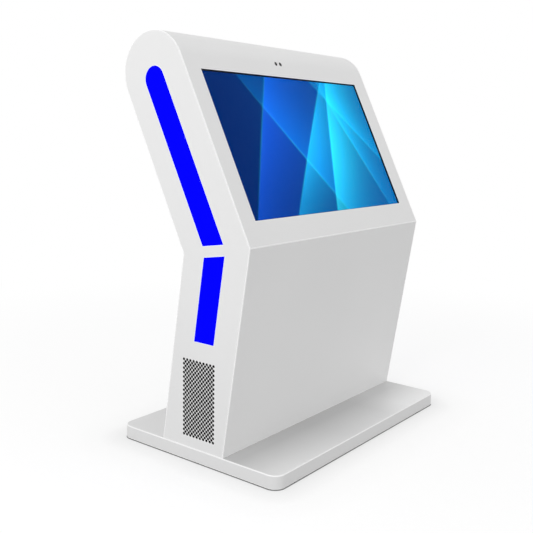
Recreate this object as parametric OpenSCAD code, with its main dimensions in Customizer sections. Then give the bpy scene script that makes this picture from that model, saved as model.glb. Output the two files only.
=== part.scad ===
// Free-standing outdoor information kiosk: a bent sheet-steel body on a wide foot plate,
// a 43 inch touch display in the leaning face, lit strips and punched vents in the side panels,
// and a hinged service door at the back. Millimetres, +Z up, the front looks along -Y,
// origin on the floor under the middle of the foot plate.

/* [Display] */
// Width of the lit picture area
screen_w = 941; // [860:1:980]
// Height of the lit picture area
screen_h = 529.5; // [480:0.5:560]
// Black rim seen between the picture and the cut-out in the face
screen_rim = 3; // [2:0.5:6]
// Sideways place of the display on the face
screen_shift = -4; // [-8:1:8]
// Face to the side of the cut-out
side_border = 76.5; // [70:0.5:120]
// Face below the cut-out
lower_border = 86.5; // [80:0.5:130]
// Flat face above the cut-out, up to the head curve
upper_border = 52.5; // [50:0.5:90]
// How far the cover glass reaches behind the face
glass_lap = 20; // [14:1:24]
// Thickness of the cover glass
glass_t = 4; // [3:0.5:6]
// Thickness of the foam gasket between face and glass
gasket_t = 2; // [1:0.5:3]
// Frame of the display module round its picture
module_rim = 13; // [8:1:14]
// Depth of the display module
module_t = 12; // [10:1:20]
// Depth of the steel chassis on the module's back
chassis_t = 14; // [8:1:20]

/* [Body outline] */
// Thickness of the body, square to its front
body_depth = 274; // [260:1:320]
// Height of the front waist line above the floor
waist_h = 767; // [740:1:820]
// Front waist line, from the middle of the foot plate
waist_y = -235; // [-250:1:-215]
// Lean of the display face away from upright
upper_lean = 26.4; // [22:0.1:30]
// Lean of the lower front, its foot behind the waist
lower_lean = 8.3; // [6:0.1:10]
// Thickness of the steel sheet of the body
sheet = 2; // [1.5:0.5:3]
// Width of the welding flange round each side panel
flange_w = 16; // [12:1:20]

/* [Foot plate] */
// Front to back size of the foot plate
base_depth = 720; // [680:5:800]
// Height of the folded pan
base_h = 47; // [40:1:60]
// Sheet of the foot plate
base_t = 3; // [2.5:0.5:4]
// Radius of its upright corners
base_corner_r = 40; // [25:1:60]
// Radius of the fold round its upper edge
base_edge_r = 3; // [1.5:0.5:3]
// Width of the lip folded in at the bottom
base_lip = 26; // [20:1:32]
// Thickness of the rubber pads under the lip
pad_t = 3; // [2:0.5:5]
// Length of a rubber pad
pad_len = 60; // [40:5:80]
// Number of stiffening channels under the plate
rib_count = 3; // [2:1:4]
// Spacing of those channels
rib_pitch = 260; // [220:5:280]
// Width of a stiffening channel
rib_w = 40; // [30:1:50]
// Height of a stiffening channel
rib_h = 30; // [20:1:36]

/* [Floor fixing] */
// Side to side spacing of the anchor holes
anchor_pitch_x = 840; // [800:5:880]
// Front to back spacing of the anchor holes
anchor_pitch_y = 160; // [120:5:170]
// Anchor holes, from the middle of the foot plate
anchor_y = 8; // [0:1:14]
// Diameter of an anchor hole
anchor_d = 14; // [10:1:16]
// Wall of the spacer sleeve round an anchor
sleeve_wall = 5; // [3:0.5:7]
// Bolts that hold the cabinet to the foot plate
floor_bolt_d = 8; // [6:1:12]
// Bore of the cable gland
gland_bore = 13; // [8:1:16]
// Thread diameter of the cable gland
gland_d = 25; // [20:1:32]
// Cable gland, sideways
gland_x = 130; // [100:5:180]
// Cable gland, front to back
gland_y = 30; // [0:5:60]

/* [Side lights] */
// Front edge of the light strips, behind the body's front
light_inset = 97.5; // [94:0.5:110]
// Width of the light strips
light_w = 86.5; // [60:0.5:90]
// Top of the upper strip, along the face from the waist
light_top = 696; // [600:1:720]
// Gap between the two strips at the waist
light_gap = 37; // [34:1:60]
// Height of the lower strip's bottom edge above the floor
light_low = 429; // [420:1:500]
// Thickness of the diffuser's flange behind the side panel
diffuser_t = 3; // [2:0.5:4]
// Flange of the diffuser round the slot
diffuser_lap = 8; // [5:0.5:9]
// Depth of the channel behind a diffuser
channel_depth = 22; // [16:1:30]
// Spacing of the diodes along a strip
diode_pitch = 22; // [16:1:40]

/* [Side vents] */
// Holes across in one row
vent_cols = 10; // [6:1:10]
// Rows of holes
vent_rows = 18; // [10:1:18]
// Spacing of the holes across
vent_pitch_y = 14.9; // [13:0.1:15.2]
// Spacing of the rows
vent_pitch_z = 15.65; // [13:0.05:15.8]
// Diameter of a vent hole
vent_d = 8.6; // [5:0.1:9]
// Height of the vent's middle above the floor
vent_h = 226.5; // [225:0.5:240]
// Vent's middle, from the middle of the side panel
vent_shift = -3; // [-4:0.5:4]
// Depth of the filter tray behind the vent
tray_depth = 14; // [10:1:20]
// Size of the square fan frame
fan_size = 120; // [92:1:125]
// Depth of the fan
fan_depth = 25; // [20:1:38]
// Number of fan blades
fan_blades = 7; // [5:1:9]

/* [Sensors] */
// Diameter of the two sensor holes above the display
sensor_d = 13; // [8:0.5:14]
// Spacing of the sensor holes
sensor_pitch = 27; // [24:1:40]
// Middle of the sensor pair, sideways
sensor_x = -32; // [-40:1:40]

/* [Service door] */
// Fixed jamb beside the door
jamb_w = 28; // [26:1:40]
// Fixed sill below the door
sill_h = 45; // [40:1:80]
// Fixed rail above the door
lintel_h = 40; // [34:1:70]
// Gap round the door
door_gap = 3; // [2:0.5:4]
// Depth of the door's folded edge
door_fold = 19; // [16:1:22]
// Depth of the rebate that the door shuts into
rebate = 27; // [27:1:32]
// Width of the door's folded lip and of the seal land
seal_land = 12; // [10:1:14]
// Number of hinges
hinge_count = 3; // [2:1:4]
// Length of a hinge
hinge_len = 90; // [70:5:120]
// Diameter of a hinge barrel
barrel_d = 12; // [10:0.5:14]
// Diameter of a hinge pin
hinge_pin_d = 6; // [4:0.5:6]
// Distance of the locks from the middle of the door's height
lock_offset = 190; // [120:5:220]
// Distance of the locks from the door's free edge
lock_inset = 30; // [28:1:36]
// Diameter of a lock barrel
lock_d = 19; // [16:1:20]
// Diameter of the turning lock plug
plug_d = 12; // [9:0.5:13]
// Reach of the lock cam
cam_len = 34; // [32:1:38]

/* [Back cover] */
// How far the head wraps down the back
head_lap = 60; // [40:5:90]
// Louvres in one bank
louvre_rows = 8; // [4:1:9]
// Spacing of the louvres
louvre_pitch = 20; // [18:1:26]
// Length of a louvre
louvre_len = 200; // [120:10:240]
// Depth of a louvre's hood
louvre_depth = 7; // [5:0.5:9]

/* [Inner frame] */
// Side of the square frame tubes
tube = 30; // [25:1:32]
// Wall of the frame tubes
tube_wall = 2; // [1.5:0.5:3]
// Side to side spacing of the display rails
rail_pitch = 400; // [360:10:440]
// Depth of a display rail
rail_depth = 16; // [12:1:20]

/* [Fits] */
// Gap between parts that are dropped into each other
fit_gap = 0.3; // [0.2:0.05:0.5]
// Open seam where two sheets of the body meet
seam = 0.2; // [0.1:0.05:0.4]
// Play of a screw, gland or lock in its hole, all round
hole_play = 0.3; // [0.2:0.05:0.5]
// Radial running clearance of pins and plugs
run_gap = 0.05; // [0.02:0.01:0.1]

/* [Hidden] */
$fn = 48;
eps = 1;

// Overall sizes that follow from the display and its borders
cutout_w = screen_w + 2 * screen_rim;
cutout_h = screen_h + 2 * screen_rim;
body_w = cutout_w + 2 * side_border;
half_w = body_w / 2;
inner_w = half_w - sheet;
face_len = lower_border + cutout_h + upper_border;
cutout_z = lower_border + cutout_h / 2;
head_r = body_depth / 2;
base_top = pad_t + base_h;
back_in = body_depth - sheet;

// The welding flange lies just inside the sheets, and the frame just inside the flange
flange_out = sheet + fit_gap;
flange_in = flange_out + sheet;
frame_out = flange_in + fit_gap;

// Directions of the two leaning halves in the side view
face_up = [sin(upper_lean), cos(upper_lean)];
face_in = [cos(upper_lean), -sin(upper_lean)];
foot_down = [sin(lower_lean), -cos(lower_lean)];
foot_in = [cos(lower_lean), sin(lower_lean)];
bend = upper_lean + lower_lean;
waist = [waist_y, waist_h];

// Side view point on the upper half: distance up the face, then depth behind it
function up(along, depth) = waist + along * face_up + depth * face_in;
// Side view point on the lower half: distance down from the waist, then depth
function low(down, depth) = waist + down * foot_down + depth * foot_in;
// Distance down the lower half at which a given height is reached
function down_at(height, depth) = (waist_h + depth * sin(lower_lean) - height) / cos(lower_lean);
function low_at(height, depth) = low(down_at(height, depth), depth);
// Distance from the waist edge, up or down, to a line beside the mitre of the two halves
function mitre(depth, gap = 0) = depth * tan(bend / 2) + gap / cos(bend / 2);

// A side view drawing becomes a solid between two places across the body
module span(x0, x1) translate([x0, 0, 0]) rotate([90, 0, 90]) linear_extrude(x1 - x0) children();
module in_head() translate([0, waist_y, waist_h]) rotate([-upper_lean, 0, 0]) children();
module in_foot() translate([0, waist_y, waist_h]) rotate([lower_lean, 0, 0]) children();
module box(x, y, z) translate([x[0], y[0], z[0]]) cube([x[1] - x[0], y[1] - y[0], z[1] - z[0]]);
module rod_y(d, y0, y1) translate([0, y0, 0]) rotate([-90, 0, 0]) cylinder(d = d, h = y1 - y0);
module rod_x(d, x0, x1) translate([x0, 0, 0]) rotate([0, 90, 0]) cylinder(d = d, h = x1 - x0);
module flip() mirror([1, 0, 0]) children();

// Rectangular plate and ring lying in the plane of a panel, between two depths
function drawn_in(size, by) = size - 2 * [by, by];
module plate(size, y) box([-size[0], size[0]] / 2, y, [-size[1], size[1]] / 2);
module ring(outer, inner, y) difference() {
    plate(outer, y);
    plate(inner, [y[0] - eps, y[1] + eps]);
}

// Side view of the whole body, drawn in by d all round
module outline(d) {
    polygon([low_at(base_top + d, d), up(mitre(d), d), up(face_len, d),
        up(face_len, body_depth - d), up(mitre(body_depth - d), body_depth - d),
        low_at(base_top + d, body_depth - d)]);
    translate(up(face_len, head_r)) circle(head_r - d);
}

// Foot plate
module round_rect(w, d, r) {
    square([w - 2 * r, d], center = true);
    square([w, d - 2 * r], center = true);
    for (x = [-1, 1], y = [-1, 1]) translate([x * (w / 2 - r), y * (d / 2 - r)]) circle(r);
}

// Slab with round corners and a fold of its own radius round the upper edge
module edged_bar(length, width, h, edge) span(-length / 2, length / 2) {
    translate([-width / 2, 0]) square([width, h - edge]);
    translate([edge - width / 2, 0]) square([width - 2 * edge, h]);
    for (y = [-1, 1]) translate([y * (width / 2 - edge), h - edge]) circle(edge);
}

module soft_edged_slab(w, d, h, r, edge) {
    edged_bar(w - 2 * r, d, h, edge);
    rotate([0, 0, 90]) edged_bar(d - 2 * r, w, h, edge);
    for (x = [-1, 1], y = [-1, 1]) translate([x * (w / 2 - r), y * (d / 2 - r), 0]) rotate_extrude() {
        square([r, h - edge]);
        square([r - edge, h]);
        translate([r - edge, h - edge]) circle(edge);
    }
}

module at_anchors() for (x = [-1, 1], y = [-1, 1])
    translate([x * anchor_pitch_x / 2, anchor_y + y * anchor_pitch_y / 2, 0]) children();

floor_bolt_x = inner_w - 46;
floor_bolt_y = anchor_pitch_y / 2;
bolt_head = 1.8 * floor_bolt_d;
module at_floor_bolts() for (x = [-1, -1 / 3, 1 / 3, 1], y = [-1, 1])
    translate([x * floor_bolt_x, anchor_y + y * floor_bolt_y, 0]) children();

module floor_holes() {
    at_anchors() cylinder(d = anchor_d, h = 2 * base_top);
    at_floor_bolts() cylinder(d = floor_bolt_d + 2 * hole_play, h = 2 * base_top);
    translate([gland_x, gland_y, 0]) cylinder(d = gland_d + 2 * hole_play, h = 2 * base_top);
}

module base_plate() color("white") difference() {
    translate([0, 0, pad_t]) soft_edged_slab(body_w, base_depth, base_h, base_corner_r, base_edge_r);
    translate([0, 0, pad_t + base_t]) linear_extrude(base_h - 2 * base_t)
        round_rect(body_w - 2 * base_t, base_depth - 2 * base_t, base_corner_r - base_t);
    translate([0, 0, pad_t - eps]) linear_extrude(base_h - 2 * base_t)
        round_rect(body_w - 2 * base_lip, base_depth - 2 * base_lip, base_corner_r);
    floor_holes();
}

module base_channels() color("gainsboro") for (i = [0:rib_count - 1])
    translate([(i - (rib_count - 1) / 2) * rib_pitch, 0, 0]) difference() {
        box([-rib_w / 2, rib_w / 2], [base_t - base_depth / 2, base_depth / 2 - base_t],
            [base_top - base_t - rib_h, base_top - base_t]);
        box([base_t - rib_w / 2, rib_w / 2 - base_t], [-base_depth, base_depth],
            [base_top - rib_h, base_top]);
    }

module foot_pads() color("dimgray") {
    pad_in = (base_t + base_lip) / 2;
    pad_w = base_lip - 2 * base_t;
    for (x = [-1, 0, 1], y = [-1, 1])
        translate([x * (half_w - base_corner_r - pad_len), y * (base_depth / 2 - pad_in), pad_t / 2])
            cube([pad_len, pad_w, pad_t], center = true);
    for (x = [-1, 1]) translate([x * (half_w - pad_in), 0, pad_t / 2])
        cube([pad_w, pad_len, pad_t], center = true);
}

module anchor_sleeves() color("silver") at_anchors() difference() {
    cylinder(d = anchor_d + 2 * sleeve_wall, h = base_top - base_t);
    translate([0, 0, -eps]) cylinder(d = anchor_d, h = base_top);
}

gland_nut_h = 8;
gland_low = base_top - base_t - gland_nut_h;
gland_grip = gland_nut_h + base_t + sheet;
module cable_gland() color("black") translate([gland_x, gland_y, 0]) difference() {
    translate([0, 0, gland_low]) {
        cylinder(d = 1.3 * gland_d, h = gland_nut_h, $fn = 6);
        cylinder(d = gland_d, h = gland_grip + gland_nut_h);
        translate([0, 0, gland_grip]) cylinder(d = 1.3 * gland_d, h = gland_nut_h, $fn = 6);
        translate([0, 0, gland_grip + gland_nut_h])
            cylinder(d1 = 1.2 * gland_d, d2 = 0.9 * gland_d, h = gland_nut_h);
    }
    cylinder(d = gland_bore, h = 2 * base_top);
}

floor_y = [low_at(base_top, flange_out)[0], low_at(base_top + sheet, body_depth - flange_out)[0]];
module cabinet_floor() color("gainsboro") difference() {
    box([-inner_w, inner_w], floor_y, [base_top, base_top + sheet]);
    floor_holes();
}

module floor_bolts() color("silver") at_floor_bolts() {
    translate([0, 0, base_top + sheet]) cylinder(d = bolt_head, h = bolt_head / 3, $fn = 6);
    translate([0, 0, base_top - base_t - floor_bolt_d])
        cylinder(d = floor_bolt_d, h = sheet + base_t + floor_bolt_d + eps);
    translate([0, 0, base_top - base_t - bolt_head / 2])
        cylinder(d = bolt_head, h = bolt_head / 2, $fn = 6);
}

// Side panels with their lit slots and punched vents
light_back = light_inset + light_w;
module upper_light(grow) {
    front = light_inset - grow;
    back = light_back + grow;
    end = light_top - light_w / 2;
    polygon([[front, mitre(front, light_gap / 2 - grow)], [front, end], [back, end],
        [back, mitre(back, light_gap / 2 - grow)]]);
    translate([light_inset + light_w / 2, end]) circle(light_w / 2 + grow);
}

module lower_light(grow) {
    front = light_inset - grow;
    back = light_back + grow;
    polygon([[front, -mitre(front, light_gap / 2 - grow)], [back, -mitre(back, light_gap / 2 - grow)],
        [back, -down_at(light_low - grow, back)], [front, -down_at(light_low - grow, front)]]);
}

module both_lights(x, grow) {
    in_head() span(x[0], x[1]) upper_light(grow);
    in_foot() span(x[0], x[1]) lower_light(grow);
}

vent_size = [(vent_cols - 1) * vent_pitch_y, (vent_rows - 1) * vent_pitch_z];
vent_mid = [(low_at(vent_h, 0)[0] + low_at(vent_h, body_depth)[0]) / 2 + vent_shift, vent_h];
module vent_grid(cols, rows) for (i = [0:cols - 1], j = [0:rows - 1])
    translate([(i - (cols - 1) / 2) * vent_pitch_y, (j - (rows - 1) / 2) * vent_pitch_z])
        circle(d = vent_d);

module side_panel() color("whitesmoke") {
    difference() {
        span(inner_w, half_w) difference() {
            outline(0);
            translate(vent_mid) {
                vent_grid(vent_cols, vent_rows);
                vent_grid(vent_cols - 1, vent_rows - 1);
            }
        }
        both_lights([0, body_w], 0);
    }
    difference() {
        span(inner_w - flange_w, inner_w) difference() {
            outline(flange_out);
            outline(flange_in);
        }
        in_head() at_cover_screws() rod_y(screw_hole, body_depth - 2 * flange_in, body_depth);
    }
}
module right_side_panel() side_panel();
module left_side_panel() flip() side_panel();

// Front sheet, and the head sheet that wraps over the top and down the back
module front_panel() color("gainsboro") in_foot() span(-inner_w, inner_w)
    polygon([[0, -mitre(0, seam / 2)], [0, seam - down_at(base_top, 0)],
        [sheet, seam - down_at(base_top, sheet)], [sheet, -mitre(sheet, seam / 2)]]);

head_end = face_len - head_lap;
module head_arc() translate([head_r, face_len]) intersection() {
    difference() {
        circle(head_r);
        circle(head_r - sheet);
    }
    translate([-head_r, 0]) square([2 * head_r, head_r]);
}

module wrapped_sheet() {
    span(-inner_w, inner_w) polygon([[0, mitre(0, seam / 2)], [0, face_len],
        [sheet, face_len], [sheet, mitre(sheet, seam / 2)]]);
    span(-inner_w, inner_w) head_arc();
    span(-inner_w, inner_w) translate([body_depth - sheet, head_end]) square([sheet, head_lap]);
}

module at_sensors() for (i = [-1, 1])
    translate([sensor_x + i * sensor_pitch / 2, 0, face_len]) children();

module head_shell() color("white") in_head() difference() {
    wrapped_sheet();
    translate([screen_shift, 0, cutout_z]) plate([cutout_w, cutout_h], [-eps, sheet + eps]);
    at_sensors() rod_y(sensor_d, -eps, 3 * sheet);
}

joint_lap = 24;
module waist_strip() color("gainsboro") span(flange_w - inner_w, inner_w - flange_w)
    polygon([up(joint_lap, flange_out), up(mitre(flange_out), flange_out), low(joint_lap, flange_out),
        low(joint_lap, flange_in), up(mitre(flange_in), flange_in), up(joint_lap, flange_in)]);

// Screwed cover on the back of the head, with two banks of hooded louvres
cover_top = head_end - fit_gap;
cover_low = mitre(body_depth, seam / 2);
louvre_h = 12;
louvre_shift = sheet * norm([louvre_depth, louvre_h]) / louvre_h;
louvre_lap = louvre_shift * louvre_h / louvre_depth;
louvre_mid = (cover_top + cover_low) / 2;
module at_louvres() for (x = [-1, 1], i = [0:louvre_rows - 1])
    translate([x * body_w / 4, 0, louvre_mid + (i - (louvre_rows - 1) / 2) * louvre_pitch]) children();

module louvre_hood() translate([0, body_depth, 0]) difference() {
    span(-louvre_len / 2, louvre_len / 2) polygon([[-sheet / 2, louvre_h / 2], [0, louvre_h / 2],
        [louvre_depth, -louvre_h / 2], [-sheet / 2, -louvre_h / 2]]);
    span(sheet - louvre_len / 2, louvre_len / 2 - sheet) polygon([[-louvre_shift, louvre_h / 2],
        [louvre_depth - louvre_shift, -louvre_h / 2], [louvre_depth - louvre_shift, -louvre_h],
        [-louvre_shift, -louvre_h]]);
}

screw_d = 5;
screw_hole = screw_d + 2 * hole_play;
screw_edge = 14;
module at_cover_screws()
    for (x = [-1, -1 / 3, 1 / 3, 1], z = [cover_low + screw_edge, cover_top - screw_edge])
        translate([x * (inner_w - screw_edge), 0, z]) children();

module back_cover() color("white") in_head() {
    difference() {
        span(-inner_w, inner_w) polygon([[body_depth, cover_low], [body_depth, cover_top],
            [back_in, cover_top], [back_in, mitre(back_in, seam / 2)]]);
        at_louvres() box([sheet - louvre_len / 2, louvre_len / 2 - sheet],
            [back_in - eps, body_depth + eps], [-louvre_h / 2, louvre_h / 2 - louvre_lap]);
        at_cover_screws() rod_y(screw_hole, back_in - eps, body_depth + eps);
    }
    at_louvres() louvre_hood();
}

module back_cover_screws() color("silver") in_head() at_cover_screws() {
    rod_y(screw_d, back_in - 3 * sheet, body_depth + eps);
    rod_y(2 * screw_d, body_depth, body_depth + screw_d / 2);
}

// Fixed surround of the service door, with the rebate that the door shuts into
opening_w = 2 * (inner_w - jamb_w);
opening_z = [sill_h - down_at(base_top, body_depth), -mitre(body_depth) - lintel_h];
opening_h = opening_z[1] - opening_z[0];
module in_doorway() in_foot() translate([0, 0, (opening_z[0] + opening_z[1]) / 2]) children();

module door_surround() color("white") {
    difference() {
        in_foot() span(-inner_w, inner_w) polygon([[body_depth, -mitre(body_depth, seam / 2)],
            [body_depth, seam - down_at(base_top, body_depth)],
            [back_in, seam - down_at(base_top, back_in)],
            [back_in, -mitre(back_in, seam / 2)]]);
        in_doorway() plate([opening_w, opening_h], [back_in - eps, body_depth + eps]);
    }
    in_doorway() {
        rebate_size = [opening_w + 2 * sheet, opening_h + 2 * sheet];
        ring(rebate_size, [opening_w, opening_h], [body_depth - rebate, back_in + sheet / 2]);
        ring(rebate_size, [opening_w - 2 * seal_land, opening_h - 2 * seal_land],
            [body_depth - rebate, body_depth - rebate + sheet]);
    }
}

// Welded inner frame: two bent uprights, two cross rails, two display rails
upright_x = [inner_w - tube, inner_w];
module upright() color("silver") difference() {
    span(upright_x[0], upright_x[1]) upright_side(0);
    span(upright_x[0] + tube_wall, upright_x[1] - tube_wall) upright_side(tube_wall);
}
module upright_side(d) {
    front = frame_out + d;
    back = frame_out + tube - d;
    polygon([low_at(base_top + frame_out, front), up(mitre(front), front), up(face_len, front),
        up(face_len, back), up(mitre(back), back), low_at(base_top + frame_out, back)]);
}
module right_upright() upright();
module left_upright() flip() upright();

// Depths behind the face at which the display is stacked
glass_y = [sheet + gasket_t, sheet + gasket_t + glass_t];
module_y = [glass_y[1], glass_y[1] + module_t];
chassis_y = [module_y[1], module_y[1] + chassis_t];
rail_y = [chassis_y[1], chassis_y[1] + rail_depth];
driver_y = [chassis_y[1], chassis_y[1] + 26];
cross_y = [rail_y[1], rail_y[1] + tube];
glass_size = [cutout_w + 2 * glass_lap, cutout_h + 2 * glass_lap];
module_size = [screen_w + 2 * module_rim, screen_h + 2 * module_rim];
module in_display() in_head() translate([screen_shift, 0, cutout_z]) children();

cross_z = [lower_border - glass_lap - 20, face_len + 2];
module cross_rails() color("silver") in_head() for (z = cross_z) difference() {
    box([-inner_w, inner_w], cross_y, [z - tube / 2, z + tube / 2]);
    box([-body_w, body_w], [cross_y[0] + tube_wall, cross_y[1] - tube_wall],
        [z - tube / 2 + tube_wall, z + tube / 2 - tube_wall]);
}

rail_w = 30;
module display_rails() color("silver") in_head() for (x = [-1, 1])
    translate([screen_shift + x * rail_pitch / 2, 0, 0]) difference() {
        box([-rail_w / 2, rail_w / 2], rail_y, [cross_z[0] - tube / 2, cross_z[1] + tube / 2]);
        box([tube_wall - rail_w / 2, rail_w / 2 - tube_wall], [rail_y[0] - eps, rail_y[1] - tube_wall],
            [-eps, cross_z[1] + tube]);
    }

// Hat section rails across the back of the front panel
plate_z = [-610, -170];
rail_in = [sheet, frame_out + tube - 10];
module equipment_rails() color("silver") in_foot() for (z = [plate_z[0] + 40, plate_z[1] - 40])
    difference() {
        box([tube - inner_w, inner_w - tube], rail_in, [z - tube / 2, z + tube / 2]);
        box([-body_w, body_w], [rail_in[0] - eps, rail_in[1] - tube_wall],
            [z - tube / 2 + tube_wall, z + tube / 2 - tube_wall]);
    }

// Display, from the front: gasket, cover glass, module, chassis, driver electronics
module glass_gasket() color("black") in_display()
    ring(glass_size, [cutout_w, cutout_h], [sheet, glass_y[0]]);
module cover_glass() color("lightsteelblue") in_display() plate(glass_size, glass_y);
module display_module() color("midnightblue") in_display() difference() {
    plate(module_size, module_y);
    plate([screen_w, screen_h], [module_y[0] - eps, module_y[0] + fit_gap]);
}

chassis_wall = 1.5;
chassis_size = module_size - [24, 24];
chassis_slot = [120, 6];
module display_chassis() color("silver") in_display() difference() {
    plate(chassis_size, chassis_y);
    plate(drawn_in(chassis_size, chassis_wall), [chassis_y[0] - eps, chassis_y[1] - chassis_wall]);
    for (x = [-1, 1], i = [-3:3]) translate([x * 0.36 * chassis_size[0], 0, i * 4 * chassis_slot[1]])
        plate(chassis_slot, [chassis_y[0], chassis_y[1] + eps]);
}

driver_size = [320, 210];
driver_slots = 15;
driver_slot = [6, driver_size[1] / 2];
module driver_box() color("gainsboro") in_display() difference() {
    plate(driver_size, driver_y);
    plate(drawn_in(driver_size, chassis_wall), [driver_y[0] - eps, driver_y[1] - chassis_wall]);
    for (i = [0:driver_slots - 1]) translate([(i - (driver_slots - 1) / 2) * 16, 0, 0])
        plate(driver_slot, [driver_y[0], driver_y[1] + eps]);
}

clamp_in = drawn_in(module_size, -fit_gap);
clamp_rim = 14;
clamp_size = drawn_in(glass_size, -clamp_rim);
stud_at = drawn_in(clamp_size, clamp_rim / 2) / 2;
clamp_y = [glass_y[1], chassis_y[0]];
module at_studs() for (x = [-1, -1 / 3, 1 / 3, 1], z = [-1, 1])
    translate([x * stud_at[0], 0, z * stud_at[1]]) children();
module glass_clamp_frame() color("dimgray") in_display() difference() {
    ring(clamp_size, clamp_in, clamp_y);
    ring(drawn_in(clamp_size, tube_wall), drawn_in(clamp_in, -tube_wall),
        [clamp_y[0] + tube_wall, clamp_y[1] + eps]);
    at_studs() rod_y(screw_hole, 0, body_depth);
}

module clamp_studs() color("silver") in_display() at_studs() {
    rod_y(screw_d, sheet, clamp_y[0] + tube_wall + screw_d + 2);
    translate([0, clamp_y[0] + tube_wall, 0]) rotate([-90, 0, 0])
        cylinder(d = 1.8 * screw_d, h = screw_d, $fn = 6);
}

// Camera and light sensor behind the two holes above the display
camera_y = [14, 15.6];
board_size = [72, 22];
board_z = face_len - screw_d;
module camera_board() color("darkgreen") in_head() {
    translate([sensor_x, 0, board_z]) plate(board_size, camera_y);
    for (x = [-1, 1]) translate([sensor_x + x * (board_size[0] / 2 - screw_d), 0, board_z - screw_d])
        rod_y(screw_d, sheet, camera_y[1]);
    at_sensors() rod_y(sensor_d - 1, 2 * sheet, camera_y[1]);
}
module sensor_windows() color("black") in_head() at_sensors()
    rod_y(sensor_d - 2 * fit_gap, fit_gap, 2 * sheet);

// Side lights: diffuser in the slot, channel behind it, diodes on the channel's floor
diffuser_x = inner_w - diffuser_t;
channel_x = diffuser_x - channel_depth;
module diffusers() color("blue") {
    both_lights([diffuser_x, half_w], -fit_gap);
    both_lights([diffuser_x, inner_w], diffuser_lap);
}
module light_channels() color("white") difference() {
    both_lights([channel_x, diffuser_x], diffuser_lap);
    both_lights([channel_x + tube_wall, half_w], diffuser_lap - tube_wall);
}

strip_w = 12;
diode_w = 5;
diode_h = 2;
light_mid = light_inset + light_w / 2;
module diode_row(z) {
    floor_x = channel_x + tube_wall;
    box([floor_x, floor_x + tube_wall], [light_mid - strip_w / 2, light_mid + strip_w / 2], z);
    for (at = [z[0] + diode_pitch / 2:diode_pitch:z[1] - diode_pitch / 2])
        box([floor_x, floor_x + tube_wall + diode_h], [light_mid - diode_w / 2, light_mid + diode_w / 2],
            [at - diode_w / 2, at + diode_w / 2]);
}
module led_strips() color("lemonchiffon") {
    near = mitre(light_mid, light_gap);
    in_head() diode_row([near, light_top - light_w]);
    in_foot() diode_row([-down_at(light_low + light_gap / 2, light_mid), -near]);
}
module right_diffusers() diffusers();
module left_diffusers() flip() diffusers();
module right_light_channels() light_channels();
module left_light_channels() flip() light_channels();
module right_led_strips() led_strips();
module left_led_strips() flip() led_strips();

// Filter and fan behind each vent
tray_wall = 1.5;
tray_edge = 3.6;
tray_size = [vent_size[0] + vent_d + 2 * tray_edge, vent_size[1] + vent_d + 2 * tray_edge];
tray_x = inner_w - tray_depth;
fan_x = [tray_x - fan_depth, tray_x];
fan_bore = fan_size - 6;
hub_d = 40;
module at_vent() translate([0, vent_mid[0], vent_mid[1]]) children();
module vent_block(size, x) box(x, [-size[0], size[0]] / 2, [-size[1], size[1]] / 2);

module filter_tray() color("dimgray") at_vent() difference() {
    vent_block(tray_size, [tray_x, inner_w]);
    vent_block(drawn_in(tray_size, tray_wall), [tray_x + tray_wall, half_w]);
    rod_x(fan_bore, 0, half_w);
}
module filter_pad() color("black") at_vent()
    vent_block(drawn_in(tray_size, tray_wall + fit_gap), [tray_x + tray_wall, inner_w - fit_gap]);

axle_d = 4;
axle_end = fan_x[0] + 18;
spider_t = 4;
spider_w = 6;
fan_screw_d = 4.3;
module fan_frame() color("black") at_vent() {
    difference() {
        vent_block([fan_size, fan_size], fan_x);
        rod_x(fan_bore, 0, half_w);
        for (y = [-1, 1], z = [-1, 1]) translate([0, y, z] * 0.4375 * fan_size)
            rod_x(fan_screw_d, 0, half_w);
    }
    rod_x(hub_d, fan_x[0], fan_x[0] + spider_t);
    for (a = [45:90:315]) rotate([a, 0, 0]) box([fan_x[0], fan_x[0] + spider_t],
        [-spider_w, spider_w] / 2, [hub_d / 2 - eps, fan_bore / 2 + eps]);
    rod_x(axle_d, fan_x[0], axle_end);
}

// The blades are cut from a ring round the hub by leaning slabs
blade_tilt = 38;
blade_t = 2;
blade_gap = 2.5;
rotor_x = [fan_x[0] + spider_t + fit_gap, fan_x[1] - 2];
module fan_rotor() color("darkslategray") at_vent() difference() {
    union() {
        rod_x(hub_d, rotor_x[0], rotor_x[1]);
        for (i = [0:fan_blades - 1]) rotate([i * 360 / fan_blades, 0, 0]) intersection() {
            difference() {
                rod_x(fan_bore - 2 * blade_gap, rotor_x[0], rotor_x[1]);
                rod_x(hub_d - 2 * blade_t, 0, half_w);
            }
            translate([(rotor_x[0] + rotor_x[1]) / 2, 0, 0]) rotate([0, 0, blade_tilt])
                box([-fan_size, fan_size], [-blade_t, blade_t] / 2, [hub_d / 2 - blade_t, fan_size]);
        }
    }
    rod_x(axle_d + 2 * run_gap, 0, axle_end + 2 * fit_gap);
}
module right_filter_tray() filter_tray();
module left_filter_tray() flip() filter_tray();
module right_filter_pad() filter_pad();
module left_filter_pad() flip() filter_pad();
module right_fan_frame() fan_frame();
module left_fan_frame() flip() fan_frame();
module right_fan_rotor() fan_rotor();
module left_fan_rotor() flip() fan_rotor();

// Equipment on a plate behind the front panel, each piece placed from the plate's middle line
// and from the waist; its own sizes run across, away from the plate, and up
plate_y = rail_in[1] + sheet;
plate_half = 330;
strap_slot = [6, 20];
strap_pitch = 80;
module at_equipment(place) in_foot() translate([place[0], plate_y, place[1]]) children();
module equipment_plate() color("gainsboro") in_foot() difference() {
    box([-plate_half, plate_half], [rail_in[1], plate_y], plate_z);
    for (i = [-3:3]) translate([i * strap_pitch, 0, plate_z[0] + strap_pitch])
        plate(strap_slot, [rail_in[1] - eps, plate_y + eps]);
}

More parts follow.
